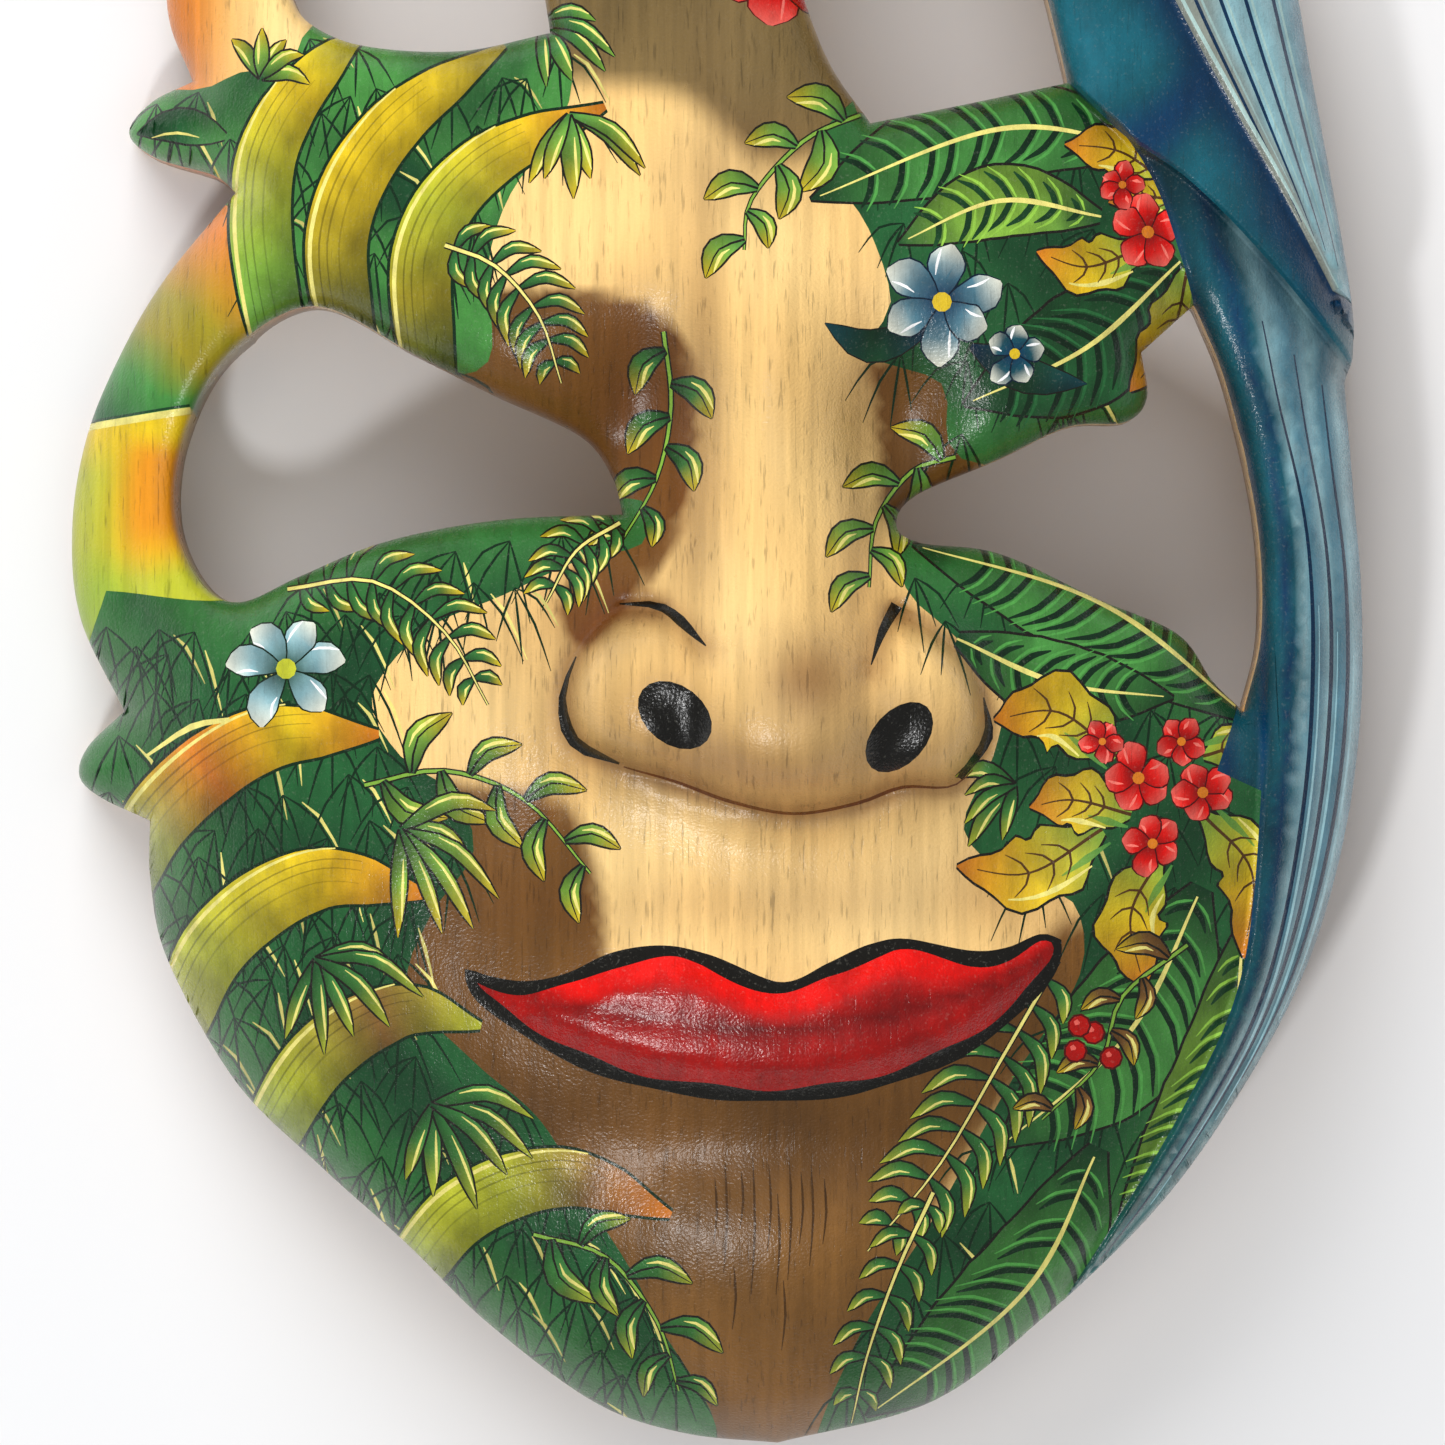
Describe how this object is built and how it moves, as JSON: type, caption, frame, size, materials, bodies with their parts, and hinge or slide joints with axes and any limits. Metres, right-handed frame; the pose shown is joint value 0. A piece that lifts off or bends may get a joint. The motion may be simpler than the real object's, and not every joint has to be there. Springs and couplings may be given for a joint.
{
  "type": "carved face mask",
  "caption": "Openwork wooden face mask, hollowed behind, with large eye openings, a cane loop and a long-tailed bird down one side.",
  "frame": {"origin": "under the middle of the mask, on the plane its flat back rim rests on", "axes": "+Z out of the face, +Y to the crown, +X to the viewer's right"},
  "size_m": [0.1806, 0.277, 0.0732],
  "materials": {
    "painted_wood": "hand painted over bare wood, under a semi-gloss varnish"
  },
  "bodies": {
    "root": {"mask": "painted_wood"}
  },
  "joints": []
}
